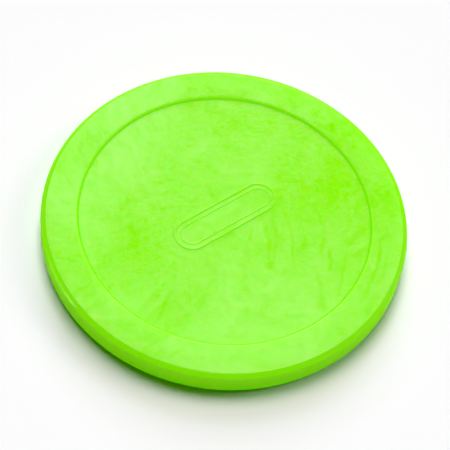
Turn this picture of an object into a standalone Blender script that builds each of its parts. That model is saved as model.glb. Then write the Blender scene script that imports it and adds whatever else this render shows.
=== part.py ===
"""Air hockey puck: one solid plastic moulding, the same on both faces.

Each face has a flat outer rim and a centre field sunk slightly below it, with a sloped step between them.
The rim turns over a bevel and a soft corner into the straight wall that strikes the mallets and the rails.
The puck lies flat, its underside at Z = 0 and its axis on Z. Lengths are in metres.
"""

import math

import bmesh
import bpy
from mathutils import Vector

# Overall size of a full-size puck, 3 1/4 inches across and 1/4 inch thick
PUCK_DIAMETER = 0.08255
PUCK_THICKNESS = 0.00635

# Flat rim, from the outer wall to the mouth of the sunk field
RIM_WIDTH = 0.00790

# Sunk field: how far it lies below the rim, and how far its step leans inwards on the way down
FIELD_DEPTH = 0.00060
STEP_RUN = 0.00050
STEP_MOUTH_RADIUS = 0.00025
STEP_FOOT_RADIUS = 0.00030

# Bevel between the rim and the wall, with a crisp upper edge and a soft lower corner
BEVEL_RUN = 0.00115
BEVEL_DROP = 0.00070
BEVEL_EDGE_RADIUS = 0.00015
WALL_CORNER_RADIUS = 0.00080

# Facets: turns round the axis, and straight pieces in each rounded corner
TURN_STEPS = 120
ARC_STEPS = 3

# Points on the axis nearer than this become one
AXIS_MERGE = 0.000001

# Edges that turn by more than this stay crisp when shaded
CRISP_ANGLE = math.radians(25.0)

PLASTIC_COLOUR = (0.245, 0.880, 0.004, 1.0)
PLASTIC_ROUGHNESS = 0.45


def clear_scene():
    """Remove every object, so that only the puck is left."""
    for thing in list(bpy.data.objects):
        bpy.data.objects.remove(thing, do_unlink=True)


def corner_arc(before, corner, after, radius):
    """Points of the arc that rounds a corner, touching the straight lines on both sides of it.

    The arc takes up at most half of either line, so that two neighbouring arcs never cross.
    """
    to_before = before - corner
    to_after = after - corner
    half_angle = to_before.angle(to_after) / 2.0
    reach = min(radius / math.tan(half_angle), to_before.length / 2.0, to_after.length / 2.0)
    to_before.normalize()
    to_after.normalize()
    arc_radius = reach * math.tan(half_angle)
    middle = (to_before + to_after).normalized()
    centre = corner + middle * (arc_radius / math.sin(half_angle))
    start = corner + to_before * reach - centre
    end = corner + to_after * reach - centre
    sweep = start.angle(end)
    points = []
    for step in range(ARC_STEPS + 1):
        share = step / ARC_STEPS
        weight_start = math.sin((1.0 - share) * sweep) / math.sin(sweep)
        weight_end = math.sin(share * sweep) / math.sin(sweep)
        points.append(centre + start * weight_start + end * weight_end)
    return points


def half_outline():
    """Upper half of the puck's section, from the axis out to the middle of the wall.

    X is the distance from the axis and Y the height above the middle of the thickness.
    """
    wall = PUCK_DIAMETER / 2.0
    rim_height = PUCK_THICKNESS / 2.0
    field_height = rim_height - FIELD_DEPTH
    step_mouth = wall - RIM_WIDTH
    step_foot = step_mouth - STEP_RUN
    corners = (
        (Vector((0.0, field_height)), 0.0),
        (Vector((step_foot, field_height)), STEP_FOOT_RADIUS),
        (Vector((step_mouth, rim_height)), STEP_MOUTH_RADIUS),
        (Vector((wall - BEVEL_RUN, rim_height)), BEVEL_EDGE_RADIUS),
        (Vector((wall, rim_height - BEVEL_DROP)), WALL_CORNER_RADIUS),
        (Vector((wall, 0.0)), 0.0),
    )
    points = [corners[0][0]]
    for (before, _), (corner, radius), (after, _) in zip(corners, corners[1:], corners[2:]):
        points.extend(corner_arc(before, corner, after, radius))
    return points


def whole_outline():
    """The section from the axis at the top, round the wall, to the axis at the bottom, with Z = 0 below."""
    upper = half_outline()
    middle = PUCK_THICKNESS / 2.0
    over = [(point.x, middle + point.y) for point in upper]
    under = [(point.x, middle - point.y) for point in reversed(upper)]
    return over + under


def turned(name, outline, material):
    """One closed solid: the outline spun once round the Z axis and joined up on it."""
    shape = bmesh.new()
    points = [shape.verts.new((radius, 0.0, height)) for radius, height in outline]
    lines = [shape.edges.new(pair) for pair in zip(points, points[1:])]
    bmesh.ops.spin(
        shape,
        geom=points + lines,
        axis=(0.0, 0.0, 1.0),
        cent=(0.0, 0.0, 0.0),
        angle=math.tau,
        steps=TURN_STEPS,
        use_merge=True,
    )
    bmesh.ops.remove_doubles(shape, verts=shape.verts, dist=AXIS_MERGE)
    bmesh.ops.recalc_face_normals(shape, faces=shape.faces)
    mesh = bpy.data.meshes.new(name)
    shape.to_mesh(mesh)
    shape.free()
    mesh.shade_smooth()
    mesh.set_sharp_from_angle(angle=CRISP_ANGLE)
    mesh.materials.append(material)
    body = bpy.data.objects.new(name, mesh)
    bpy.context.scene.collection.objects.link(body)
    return body


def green_plastic():
    """Satin lime green plastic, coloured through."""
    material = bpy.data.materials.new("green_plastic")
    material.use_nodes = True
    shader = material.node_tree.nodes["Principled BSDF"]
    shader.inputs["Base Color"].default_value = PLASTIC_COLOUR
    shader.inputs["Roughness"].default_value = PLASTIC_ROUGHNESS
    shader.inputs["Metallic"].default_value = 0.0
    return material


def main():
    clear_scene()
    turned("puck_body", whole_outline(), green_plastic())


main()
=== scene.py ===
"""An air hockey puck on a white studio floor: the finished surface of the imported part, lit and framed."""

import math

import bpy
import numpy as np
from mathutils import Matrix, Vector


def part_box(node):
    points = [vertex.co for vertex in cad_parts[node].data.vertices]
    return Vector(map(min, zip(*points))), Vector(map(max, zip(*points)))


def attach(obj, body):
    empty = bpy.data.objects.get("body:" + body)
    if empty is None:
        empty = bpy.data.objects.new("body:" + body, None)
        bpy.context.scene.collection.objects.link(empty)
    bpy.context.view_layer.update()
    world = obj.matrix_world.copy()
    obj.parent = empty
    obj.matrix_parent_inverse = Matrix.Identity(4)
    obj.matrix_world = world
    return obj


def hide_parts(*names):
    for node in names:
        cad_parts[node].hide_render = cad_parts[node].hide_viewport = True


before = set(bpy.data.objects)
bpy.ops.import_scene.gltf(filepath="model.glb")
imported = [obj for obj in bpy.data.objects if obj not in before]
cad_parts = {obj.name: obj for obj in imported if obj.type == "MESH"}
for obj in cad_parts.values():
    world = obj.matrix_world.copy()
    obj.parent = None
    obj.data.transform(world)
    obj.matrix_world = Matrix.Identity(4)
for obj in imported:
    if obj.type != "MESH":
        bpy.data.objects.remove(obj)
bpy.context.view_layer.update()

# The puck is one disc of lime green plastic, coloured through and injection moulded in a single shot.
# Each face has a flat rim round a slightly sunk field, and the upper field carries a blank raised badge.
# Nothing is fastened to it: it lies loose on the flat ring of its lower rim.
MM = 0.001
body_low, body_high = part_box("puck_body")
wall_radius = min(body_high.x, -body_low.x)
thickness = body_high.z - body_low.z
rim_width = 7.90 * MM
field_depth = 0.60 * MM
step_run = 0.50 * MM
step_mouth_round = 0.25 * MM
step_foot_round = 0.30 * MM
bevel_run = 1.15 * MM
bevel_drop = 0.70 * MM
bevel_edge_round = 0.15 * MM
wall_corner_round = 0.80 * MM
guard_width = 0.06 * MM
turn_count = 480
arc_count = 8
bevel_count = 6
turn = np.linspace(0.0, math.tau, turn_count, endpoint=False)


def rounded_corner(before, corner, after, radius):
    """Section points of one rounded corner, from the line before it to the line after it.

    The arc's centre lies on the line that halves the corner, and each point is that centre plus the two
    touching radii, mixed by the sines of their shares of the angle between them. One more point on each
    straight line, a guard's width away, keeps the flat faces flat when they are shaded smooth.
    """
    before, corner, after = np.array(before), np.array(corner), np.array(after)
    back = (before - corner) / np.linalg.norm(before - corner)
    ahead = (after - corner) / np.linalg.norm(after - corner)
    half_angle = math.acos(float(back @ ahead)) / 2.0
    reach = radius / math.tan(half_angle)
    middle = (back + ahead) / np.linalg.norm(back + ahead)
    centre = corner + middle * radius / math.sin(half_angle)
    sweep = math.pi - 2.0 * half_angle
    share = np.linspace(0.0, 1.0, arc_count + 1)[:, None]
    start = corner + back * reach - centre
    end = corner + ahead * reach - centre
    arc = centre + (start * np.sin((1.0 - share) * sweep) + end * np.sin(share * sweep)) / math.sin(sweep)
    guards = corner + np.stack([back, ahead]) * (reach + guard_width)
    return np.concatenate([guards[:1], arc, guards[1:]])


field_height = thickness - field_depth
step_mouth = wall_radius - rim_width
step_foot = step_mouth - step_run
bevel_edge = wall_radius - bevel_run
wall_top = thickness - bevel_drop
section = (
    (0.0, field_height),
    (step_foot, field_height),
    (step_mouth, thickness),
    (bevel_edge, thickness),
    (wall_radius, wall_top),
    (wall_radius, thickness / 2.0),
)
foot_points = rounded_corner(section[0], section[1], section[2], step_foot_round)
mouth_points = rounded_corner(section[1], section[2], section[3], step_mouth_round)
edge_points = rounded_corner(section[2], section[3], section[4], bevel_edge_round)
corner_points = rounded_corner(section[3], section[4], section[5], wall_corner_round)
bevel_points = np.linspace(edge_points[-1], corner_points[0], bevel_count)[1:-1]
upper_section = np.concatenate([foot_points, mouth_points, edge_points, bevel_points, corner_points])
lower_section = upper_section[::-1] * (1.0, -1.0) + (0.0, thickness)

# Blank badge in the middle of the upper field: two plain raised lines round an empty pill shape
badge_length = 26.0 * MM
badge_width = 7.6 * MM
badge_turn = math.radians(43.0)
badge_line_height = 0.14 * MM
badge_line_top = 0.20 * MM
badge_line_base = 0.62 * MM
badge_inner_inset = 1.25 * MM
badge_inner_share = 0.6
badge_line_count = 17
spread_count = 16


def pill_radius(angle, straight, half_width):
    """Distance from the centre to a pill outline along each ray.

    A ray meets the flat side at the half width over its sine, or beyond the straight part the round end,
    whose distance is the straight part times the cosine plus the rest of the end's radius.
    """
    cosine = np.abs(np.cos(angle))
    sine = np.abs(np.sin(angle))
    least_sine = 1e-9
    side = half_width / np.maximum(sine, least_sine)
    end = straight * cosine + np.sqrt(np.maximum(half_width**2 - (straight * sine) ** 2, 0.0))
    return np.where(side * cosine <= straight, side, end)


def raised_line(offset, height, top, base):
    """Height of a raised line at a distance from its middle.

    It is flat on top, and half a cosine wave takes it down to its base on either side.
    """
    share = np.clip((np.abs(offset) - top / 2.0) / ((base - top) / 2.0), 0.0, 1.0)
    return height * (0.5 + 0.5 * np.cos(math.pi * share))


badge_angle = turn[None, :] - badge_turn
badge_straight = (badge_length - badge_width) / 2.0
line_offset = np.linspace(-badge_line_base / 2.0, badge_line_base / 2.0, badge_line_count)[:, None]
inner_offset = line_offset * badge_inner_share - badge_inner_inset
inner_radius = pill_radius(badge_angle, badge_straight, badge_width / 2.0 + inner_offset)
outer_radius = pill_radius(badge_angle, badge_straight, badge_width / 2.0 + line_offset)
outer_rise = raised_line(line_offset, badge_line_height, badge_line_top, badge_line_base)
inner_rise = outer_rise * badge_inner_share
middle_share = np.array([0.10, 0.40, 0.70, 0.92])[:, None]
middle_radius = inner_radius[:1] * middle_share
spread_share = np.linspace(0.0, 1.0, spread_count)[1:-1, None]
spread_radius = outer_radius[-1:] * (1.0 - spread_share) + upper_section[0, 0] * spread_share
field_radius = np.concatenate([middle_radius, inner_radius, outer_radius, spread_radius])
field_rise = np.concatenate([middle_share * 0.0, inner_rise, outer_rise, spread_share * 0.0])

# Trimmed gate on the upper edge at the left: the cut leaves the wall standing high, and ends in a ledge
gate_start = math.radians(190.0)
gate_full = math.radians(214.0)
gate_end = math.radians(225.6)
gate_gone = gate_end + math.radians(0.5)
ledge_start = math.radians(218.5)
ledge_full = math.radians(222.0)
ledge_height = thickness - 0.38 * MM
ledge_inner = wall_radius - 0.58 * MM
ledge_outer = wall_radius - 0.04 * MM
gate_foot = thickness - 2.40 * MM
gate_head = thickness - 0.80 * MM


def smooth_share(value, low, high):
    """Share of the way from low to high, eased at both ends: three squares less two cubes."""
    share = np.clip((value - low) / (high - low), 0.0, 1.0)
    return share * share * (3.0 - 2.0 * share)


def gate_rise(height, angle):
    """How far the gate's remains lift the edge.

    Whatever lies below the ledge comes up towards it, less and less down the wall. The lift grows slowly
    round the edge and stops short where the gate was cut off.
    """
    along = smooth_share(angle, gate_start, gate_full) - smooth_share(angle, gate_end, gate_gone)
    down = smooth_share(height, gate_foot, gate_head)
    return np.maximum(ledge_height - height, 0.0) * down * along


lower_field_share = np.array([0.85, 0.6, 0.35, 0.1])[:, None]
ones = np.ones((1, turn_count))
ring_radius = np.concatenate([
    field_radius,
    upper_section[:, :1] * ones,
    lower_section[:, :1] * ones,
    lower_field_share * lower_section[-1, 0] * ones,
])
ring_height = np.concatenate([
    (field_height + field_rise) * ones,
    upper_section[:, 1:] * ones,
    lower_section[:, 1:] * ones,
    lower_section[-1, 1] + lower_field_share * 0.0 * ones,
])
on_edge = (ring_radius > bevel_edge) & (ring_height > thickness / 2.0)
ledge_points = on_edge & (ring_radius > ledge_inner) & (ring_radius < ledge_outer)
ledge_along = smooth_share(turn, ledge_start, ledge_full) - smooth_share(turn, gate_end, gate_gone)
ledge_share = ledge_points * ledge_along[None, :]
ring_height = ring_height + on_edge * gate_rise(ring_height, turn[None, :])


def closed_turning(name, radius, height, angle):
    """A closed skin of rings round the Z axis, from the middle of the top to the middle of the underside.

    Point (ring, step) lies at its radius times the cosine and sine of its angle, at its own height. Each
    pair of neighbouring rings is joined by four-sided faces, and a fan of triangles closes either pole.
    """
    rings, steps = radius.shape
    grid = np.stack([radius * np.cos(angle), radius * np.sin(angle), height], axis=2).reshape(-1, 3)
    poles = np.array([[0.0, 0.0, height[0, 0]], [0.0, 0.0, height[-1, 0]]])
    points = np.concatenate([grid, poles])
    step = np.arange(steps)
    after = (step + 1) % steps
    ring = np.arange(rings - 1)[:, None] * steps
    corners = [ring + step, ring + steps + step, ring + steps + after, ring + after]
    quads = np.stack(corners, axis=2).reshape(-1, 4)
    last = (rings - 1) * steps
    top_fan = np.stack([np.full(steps, rings * steps), step, after], axis=1)
    under_fan = np.stack([np.full(steps, rings * steps + 1), last + after, last + step], axis=1)
    mesh = bpy.data.meshes.new(name)
    mesh.from_pydata(points.tolist(), [], quads.tolist() + top_fan.tolist() + under_fan.tolist())
    mesh.shade_smooth()
    made = bpy.data.objects.new(name, mesh)
    bpy.context.scene.collection.objects.link(made)
    return made


puck = closed_turning("puck", ring_radius, ring_height, turn[None, :])
ledge_mark = puck.data.attributes.new("ledge", "FLOAT", "POINT")
ledge_mark.data.foreach_set("value", np.concatenate([ledge_share.reshape(-1), [0.0, 0.0]]))

# Its plastic is a neon lime green that scatters light inside it. It also carries painted glow, an emission,
# faint on the faces and strong on the step, the bevel and the wall, whose greens are darkened as painted
# shade. Gliding on the table has polished both faces, unevenly; the edges are dull.
FACE_GREEN = (0.257, 0.806, 0.002, 1.0)
FACE_PALE = (0.273, 0.800, 0.004, 1.0)
# Painted glow: emission colours that light the puck though it is no lamp
FACE_PAINTED_GLOW = (0.030, 0.116, 0.000, 1.0)
# Painted shade: the step's darker green, lit again at its foot and mouth by painted glow
STEP_GREEN_PAINTED_SHADE = (0.065, 0.320, 0.002, 1.0)
STEP_FOOT_PAINTED_GLOW = (0.155, 0.620, 0.001, 1.0)
STEP_MOUTH_PAINTED_GLOW = (0.262, 0.775, 0.008, 1.0)
# Painted shade: darker greens on the bevel and the wall, deepest at the foot of the wall, each with its
# painted glow
BEVEL_GREEN_PAINTED_SHADE = (0.080, 0.230, 0.002, 1.0)
BEVEL_PAINTED_GLOW = (0.163, 0.608, 0.000, 1.0)
WALL_GREEN_PAINTED_SHADE = (0.170, 0.470, 0.002, 1.0)
WALL_PAINTED_GLOW = (0.083, 0.340, 0.000, 1.0)
WALL_FOOT_GREEN_PAINTED_SHADE = (0.110, 0.470, 0.002, 1.0)
WALL_FOOT_PAINTED_GLOW = (0.052, 0.390, 0.000, 1.0)
NO_GLOW = (0.0, 0.0, 0.0, 1.0)
wall_foot = 0.8 * MM
wall_foot_top = 2.8 * MM
# Painted shade near the floor: the edge glow fades out over the lowest millimetre of the wall
painted_glow_foot = 0.2 * MM
painted_glow_head = 1.0 * MM
glow_reach = (2.0 * MM, 6.0 * MM, 0.4 * MM)
polish = 0.465
polish_spread = 5.0
polish_roughness = 0.45
bevel_dulling = 0.62
wall_polish = 0.26
ledge_polish = 0.28
grain_strength = 0.15
grain_height = 0.02 * MM
least_roughness = 0.50
most_roughness = 0.62


def put(tree, kind, inputs=None, **settings):
    """A new node with its settings, whose inputs take a plain value or the output socket that feeds them."""
    made = tree.nodes.new(kind)
    for name, value in settings.items():
        setattr(made, name, value)
    for key, value in (inputs or {}).items():
        if isinstance(value, bpy.types.NodeSocket):
            tree.links.new(value, made.inputs[key])
        else:
            made.inputs[key].default_value = value
    return made


plastic = bpy.data.materials.new("lime_plastic")
plastic.use_nodes = True
tree = plastic.node_tree
shader = tree.nodes["Principled BSDF"]
place = put(tree, "ShaderNodeTexCoord").outputs["Object"]
in_mm = put(tree, "ShaderNodeVectorMath", {0: place, "Scale": 1.0 / MM}, operation="SCALE").outputs["Vector"]


def noise(scale, detail, evenness, distortion=0.0):
    """Soft random value about one half, with this many features to the millimetre."""
    return put(tree, "ShaderNodeTexNoise", {
        "Vector": in_mm,
        "Scale": scale,
        "Detail": detail,
        "Roughness": evenness,
        "Distortion": distortion,
    }).outputs["Fac"]


def ramp(value, low, high, start=0.0, end=1.0):
    """Value taken smoothly from start to end as it goes from low to high."""
    return put(tree, "ShaderNodeMapRange", {
        "Value": value,
        "From Min": low,
        "From Max": high,
        "To Min": start,
        "To Max": end,
    }, interpolation_type="SMOOTHSTEP").outputs["Result"]


def count(operation, first, second=0.0):
    """One arithmetic step on one or two values."""
    return put(tree, "ShaderNodeMath", {0: first, 1: second}, operation=operation).outputs["Value"]


def measure(operation, first, second=(0.0, 0.0, 0.0)):
    """One value worked out from one or two places."""
    return put(tree, "ShaderNodeVectorMath", {0: first, 1: second}, operation=operation).outputs["Value"]


def blend(share, first, second):
    """Colour between two others by a share."""
    mix = put(tree, "ShaderNodeMix", {"Factor": share, "A": first, "B": second}, data_type="RGBA")
    return mix.outputs["Result"]


# Where the edges are: the step round each field, and everything outside the rim but the gate's ledge
edge_blur = 0.12 * MM
foot_start = step_foot - 1.5 * edge_blur
foot_end = step_foot + 0.5 * edge_blur
wall_start = wall_radius - 2.0 * edge_blur
flat_place = put(tree, "ShaderNodeVectorMath", {0: place, 1: (1.0, 1.0, 0.0)}, operation="MULTIPLY")
from_axis = measure("LENGTH", flat_place.outputs["Vector"])
past_foot = ramp(from_axis, foot_start, foot_end)
past_mouth = ramp(from_axis, step_mouth - edge_blur, step_mouth + edge_blur)
past_rim = ramp(from_axis, bevel_edge - edge_blur, bevel_edge + edge_blur)
wall = ramp(from_axis, wall_start, wall_radius)
bevel = count("SUBTRACT", past_rim, wall)
height = put(tree, "ShaderNodeSeparateXYZ", {"Vector": place}).outputs["Z"]
ledge = put(tree, "ShaderNodeAttribute", attribute_name="ledge").outputs["Fac"]
# The step mask carries the step's painted shade
step = count("SUBTRACT", past_foot, past_mouth)
edge = count("SUBTRACT", past_rim, ledge)

# Uneven polish: broad clouds and fine speckle, and some patches that were rubbed more or less than the rest
noise_middle = 0.5
speckle_share = 0.65
lean = 0.22
lean_turn = math.radians(220.0)
cloud = noise(scale=0.035, detail=5.0, evenness=0.95, distortion=0.3)
speckle = noise(scale=0.70, detail=3.0, evenness=1.0)
fine_mottle = count("MULTIPLY", count("SUBTRACT", speckle, noise_middle), speckle_share)
mottle = count("ADD", count("SUBTRACT", cloud, noise_middle), fine_mottle)
lean_way = (lean / wall_radius * math.cos(lean_turn), lean / wall_radius * math.sin(lean_turn), 0.0)
leaning = measure("DOT_PRODUCT", place, lean_way)
unevenness = count("ADD", count("MULTIPLY", mottle, polish_spread), leaning)

# A patch's middle and reach are in millimetres, and its gain is a share of the polish
rubbed_patches = (
    (-26.0, 26.0, 24.0, 0.45),
    (-38.0, 0.0, 16.0, 0.30),
    (22.0, -30.0, 20.0, 0.45),
    (-3.0, -37.0, 16.0, 0.35),
    (4.5, -24.5, 7.0, 0.30),
    (0.0, 0.0, 14.0, 0.36),
    (-18.0, -20.0, 20.0, -0.40),
    (24.0, 22.0, 26.0, -0.40),
    (0.0, 24.0, 14.0, -0.15),
    (-21.0, 2.0, 14.0, -0.15),
    (30.0, -2.0, 16.0, -0.20),
)
for patch_x, patch_y, patch_reach, patch_gain in rubbed_patches:
    patch_middle = (patch_x, patch_y, thickness / MM)
    away = measure("DISTANCE", in_mm, patch_middle)
    unevenness = count("ADD", unevenness, ramp(away, 0.0, patch_reach, start=patch_gain, end=0.0))
even_polish = count("MULTIPLY", count("ADD", unevenness, 1.0), polish)

# Flow marks, where the plastic from the gate folded up on the far side: dull streaks, each a bowed line
# along Y. A streak's middle, half length and half width are in millimetres, its tilt is a slope, its bow
# that slope's change to the millimetre, and its depth a share of the polish.
flow_waver = 1.6
flow_most = 0.92
streak_full = 0.4
flow_streaks = (
    (10.4, -5.5, -0.24, -0.019, 6.5, 0.84, 0.82),
    (12.0, -5.0, -0.11, -0.021, 7.0, 0.76, 0.73),
    (11.4, -11.2, 0.3, 0.0, 1.6, 1.51, 0.82),
    (15.6, -5.0, -0.2, 0.0, 9.0, 0.72, 0.60),
    (18.3, -3.8, -0.03, -0.06, 2.8, 1.18, 0.89),
    (22.4, -4.3, 0.0, 0.04, 3.6, 1.01, 0.95),
    (24.4, -7.3, -0.13, -0.04, 4.0, 0.92, 0.95),
    (21.1, 3.5, -0.53, 0.0, 3.6, 0.84, 0.73),
    (17.2, 5.7, 0.5, 0.0, 1.6, 0.84, 0.73),
    (27.6, -10.5, 0.11, 0.0, 7.6, 0.67, 0.82),
    (31.0, -5.1, -0.16, 0.0, 2.6, 0.67, 0.65),
    (34.3, -9.5, 0.2, 0.0, 8.5, 0.76, 0.89),
    (35.2, -3.0, 0.0, -0.03, 3.8, 0.67, 0.73),
    (36.4, -8.2, 0.13, 0.0, 5.5, 0.67, 0.65),
    (16.4, 8.0, 0.0, 0.0, 4.4, 0.59, 0.56),
    (22.9, -14.0, -0.26, -0.03, 5.4, 1.15, 0.55),
    (6.2, -3.9, 0.0, -0.09, 2.6, 0.59, 0.73),
    (12.6, 26.5, -0.36, 0.0, 3.4, 1.51, 0.56),
    (23.6, -19.0, -0.2, 0.0, 2.4, 1.68, 0.56),
)
unrest = noise(scale=0.22, detail=2.0, evenness=0.5)
waver = count("MULTIPLY", count("SUBTRACT", unrest, noise_middle), flow_waver)
spot = put(tree, "ShaderNodeSeparateXYZ", {"Vector": in_mm}).outputs
spot_x = count("ADD", spot["X"], waver)
flow_loss = 0.0
for streak_x, streak_y, tilt, bow, half_length, half_width, depth in flow_streaks:
    along = count("SUBTRACT", spot["Y"], streak_y)
    turn_over = count("ADD", count("MULTIPLY", along, bow), tilt)
    line_x = count("ADD", count("MULTIPLY", along, turn_over), streak_x)
    across = count("ABSOLUTE", count("SUBTRACT", spot_x, line_x))
    beside = ramp(across, 0.0, half_width, start=depth, end=0.0)
    from_middle = count("ABSOLUTE", along)
    within = ramp(from_middle, streak_full * half_length, half_length, start=1.0, end=0.0)
    flow_loss = count("ADD", flow_loss, count("MULTIPLY", beside, within))

# One small whirl of rings among them
whirl_middle = (13.3, -22.7, thickness / MM)
whirl_reach = 4.6
whirl_rings = 1.2
whirl_depth = 0.42
whirl_full = 0.5
whirl_waver = 2.5
from_whirl = measure("DISTANCE", in_mm, whirl_middle)
whirl_distance = count("ADD", from_whirl, count("MULTIPLY", waver, whirl_waver))
whirl_phase = count("MULTIPLY", whirl_distance, whirl_rings * math.tau)
whirl_line = ramp(count("SINE", whirl_phase), 0.0, 1.0)
whirl_fade = ramp(from_whirl, whirl_full * whirl_reach, whirl_reach, start=whirl_depth, end=0.0)
flow_loss = count("ADD", flow_loss, count("MULTIPLY", whirl_line, whirl_fade))

# Here and there the marks are fainter
faint_below = 0.30
strong_above = 0.60
faint_share = 0.60
patchiness = noise(scale=0.45, detail=2.0, evenness=0.6)
flow_strength = ramp(patchiness, faint_below, strong_above, start=faint_share, end=1.0)
flow_loss = count("MINIMUM", count("MULTIPLY", flow_loss, flow_strength), flow_most)
face_polish = count("MULTIPLY", even_polish, count("SUBTRACT", 1.0, flow_loss))

# The gloss: full on the faces, weaker on the bevel, the wall and the gate's ledge, and none on the step
gloss_start = step_mouth - 3.0 * edge_blur
gloss_full = step_mouth - edge_blur
below_mouth = count("SUBTRACT", past_foot, ramp(from_axis, gloss_start, gloss_full))
dulled = count("ADD", count("ADD", below_mouth, wall), count("MULTIPLY", bevel, bevel_dulling))
on_face = count("MULTIPLY", face_polish, count("SUBTRACT", 1.0, dulled))
on_wall = count("MULTIPLY", wall, wall_polish)
on_ledge = count("MULTIPLY", ledge, ledge_polish)
gloss = count("ADD", count("ADD", on_face, on_wall), on_ledge)

# The colour and the painted glow, which turn a deeper green down the wall as painted shade near the floor,
# and the fine grain of the mould
cloud_low = 0.35
cloud_high = 0.65
speckle_low = 0.3
speckle_high = 0.7
face_colour = blend(ramp(cloud, cloud_low, cloud_high), FACE_GREEN, FACE_PALE)
# Towards the floor the wall turns a deeper green with weaker painted glow: painted shade
up_wall = ramp(height, wall_foot, wall_foot_top)
wall_colour_painted_shade = blend(up_wall, WALL_FOOT_GREEN_PAINTED_SHADE, WALL_GREEN_PAINTED_SHADE)
painted_wall_glow = blend(up_wall, WALL_FOOT_PAINTED_GLOW, WALL_PAINTED_GLOW)
# Base colour with painted shade on the step, the bevel and the wall
colour = blend(edge, blend(step, face_colour, STEP_GREEN_PAINTED_SHADE), blend(wall, BEVEL_GREEN_PAINTED_SHADE, wall_colour_painted_shade))
# Painted glow on the bevel and the wall, faded out near the floor
painted_edge_glow = blend(ramp(height, painted_glow_foot, painted_glow_head), NO_GLOW, blend(wall, BEVEL_PAINTED_GLOW, painted_wall_glow))
# Painted light on the step, brighter from its foot to its mouth
step_painted_light_share = ramp(from_axis, step_foot + edge_blur, step_mouth + edge_blur)
painted_step_glow = blend(step_painted_light_share, STEP_FOOT_PAINTED_GLOW, STEP_MOUTH_PAINTED_GLOW)
painted_glow = blend(edge, blend(step, FACE_PAINTED_GLOW, painted_step_glow), painted_edge_glow)
roughness = ramp(speckle, speckle_low, speckle_high, start=least_roughness, end=most_roughness)
grain = noise(scale=1.7, detail=2.0, evenness=0.6)
bump = put(tree, "ShaderNodeBump", {"Height": grain, "Strength": grain_strength, "Distance": grain_height})
tree.links.new(colour, shader.inputs["Base Color"])
tree.links.new(painted_glow, shader.inputs["Emission Color"])
tree.links.new(gloss, shader.inputs["Coat Weight"])
tree.links.new(roughness, shader.inputs["Roughness"])
tree.links.new(bump.outputs["Normal"], shader.inputs["Normal"])
shader.inputs["Emission Strength"].default_value = 1.0
shader.inputs["Specular IOR Level"].default_value = 0.0
shader.inputs["Coat Roughness"].default_value = polish_roughness
shader.inputs["Subsurface Weight"].default_value = 1.0
shader.inputs["Subsurface Radius"].default_value = glow_reach
shader.inputs["Subsurface Scale"].default_value = 1.0
puck.data.materials.append(plastic)
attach(puck, "root")
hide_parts("puck_body")

# The floor is a sheet of matt white board, wide enough to reach the horizon in a low view.
# It is plain, and only takes the puck's shadow and the green light that the puck throws on it.
floor_reach = 40.0
FLOOR_WHITE = (0.990, 0.992, 0.996, 1.0)
floor_mesh = bpy.data.meshes.new("floor")
floor_corners = floor_reach * np.array([(-1, -1, 0), (1, -1, 0), (1, 1, 0), (-1, 1, 0)], float)
floor_mesh.from_pydata(floor_corners.tolist(), [], [(0, 1, 2, 3)])
floor = bpy.data.objects.new("floor", floor_mesh)
bpy.context.scene.collection.objects.link(floor)
board = bpy.data.materials.new("white_board")
board.use_nodes = True
sheet = board.node_tree
matt = put(sheet, "ShaderNodeBsdfDiffuse", {"Color": FLOOR_WHITE})
sheet.links.new(matt.outputs["BSDF"], sheet.nodes["Material Output"].inputs["Surface"])
floor_mesh.materials.append(board)

# The light is a large soft lamp high behind the puck, a lower one under it and a weaker one at the right.
# Each is a broad disc far away, so that the floor is lit evenly as far as it reaches.
WARM_WHITE = (1.03, 0.99, 0.95)
COOL_WHITE = (0.95, 1.00, 1.16)
YELLOW_WHITE = (1.02, 1.02, 0.85)


def soft_lamp(name, azimuth, elevation, width, floor_share, tint):
    """A far disc lamp at a compass place and height in degrees, as wide as its angle in degrees.

    Its strength is pi times the share of the floor's light that it gives, over the sine of its height.
    """
    lamp = bpy.data.lights.new(name, "SUN")
    lamp.angle = math.radians(width)
    lamp.color = tint
    lamp.energy = math.pi * floor_share / math.sin(math.radians(elevation))
    made = bpy.data.objects.new(name, lamp)
    made.rotation_euler = (math.radians(90.0 - elevation), 0.0, math.radians(azimuth + 90.0))
    bpy.context.scene.collection.objects.link(made)


soft_lamp("back_light", azimuth=103.0, elevation=66.0, width=34.0, floor_share=0.56, tint=WARM_WHITE)
soft_lamp("low_back_light", azimuth=97.0, elevation=31.0, width=34.0, floor_share=0.30, tint=COOL_WHITE)
soft_lamp("right_light", azimuth=22.0, elevation=35.0, width=26.0, floor_share=0.125, tint=YELLOW_WHITE)

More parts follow.
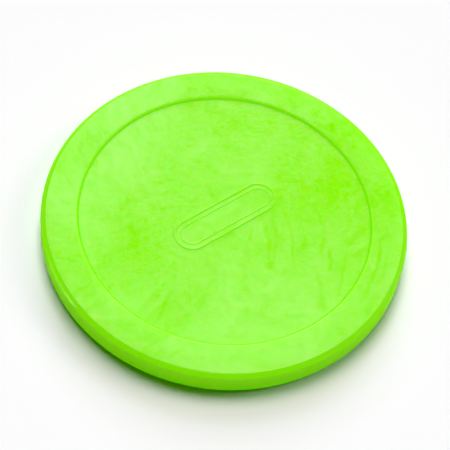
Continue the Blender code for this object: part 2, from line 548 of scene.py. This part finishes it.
# Round the floor stands a white wall, seen as a plain white up to a low height and dark above it.
# It gives no light of its own to the puck or the floor.
horizon_white = 0.95
white_up_to = math.sin(math.radians(6.0))
dark_from = math.sin(math.radians(12.0))
studio = bpy.data.worlds.new("studio")
studio.use_nodes = True
bpy.context.scene.world = studio
sky = studio.node_tree
look = put(sky, "ShaderNodeTexCoord").outputs["Generated"]
rise = put(sky, "ShaderNodeSeparateXYZ", {"Vector": look}).outputs["Z"]
wall_light = put(sky, "ShaderNodeMapRange", {
    "Value": rise,
    "From Min": white_up_to,
    "From Max": dark_from,
    "To Min": horizon_white,
    "To Max": 0.0,
}, interpolation_type="SMOOTHSTEP").outputs["Result"]
path = put(sky, "ShaderNodeLightPath").outputs
mirrored = {0: path["Is Glossy Ray"], 1: path["Is Transmission Ray"]}
shiny = put(sky, "ShaderNodeMath", mirrored, operation="MAXIMUM")
seen = put(sky, "ShaderNodeMath", {0: path["Is Camera Ray"], 1: shiny.outputs["Value"]}, operation="MAXIMUM")
seen_light = put(sky, "ShaderNodeMath", {0: wall_light, 1: seen.outputs["Value"]}, operation="MULTIPLY")
sky.links.new(seen_light.outputs["Value"], sky.nodes["Background"].inputs["Strength"])
sky.nodes["Background"].inputs["Color"].default_value = (1.0, 1.0, 1.0, 1.0)

# The camera looks down on the near edge from the photograph's angle, turned a little about its own axis.
# Its distance and its focal length give the photograph's perspective at the puck's real size.
image_pixels = 450.0
focal_pixels = 1564.0
view_height = math.radians(56.509)
view_distance = 356.6 * MM
view_roll = math.radians(8.794)
view_target = np.array([0.205, 1.356, 0.0]) * MM
backward = np.array([0.0, -math.cos(view_height), math.sin(view_height)])
level_right = np.array([1.0, 0.0, 0.0])
level_up = np.cross(backward, level_right)
image_right = math.cos(view_roll) * level_right + math.sin(view_roll) * level_up
image_up = math.cos(view_roll) * level_up - math.sin(view_roll) * level_right
lens = bpy.data.cameras.new("camera")
lens.sensor_width = 36.0
lens.lens = lens.sensor_width * focal_pixels / image_pixels
lens.clip_start = 0.01
lens.clip_end = 200.0
camera = bpy.data.objects.new("camera", lens)
placing = np.eye(4)
placing[:3, 0] = image_right
placing[:3, 1] = image_up
placing[:3, 2] = backward
placing[:3, 3] = view_target + backward * view_distance
camera.matrix_world = placing.T.tolist()
bpy.context.scene.collection.objects.link(camera)
bpy.context.scene.camera = camera
bpy.context.scene.view_settings.view_transform = "Standard"
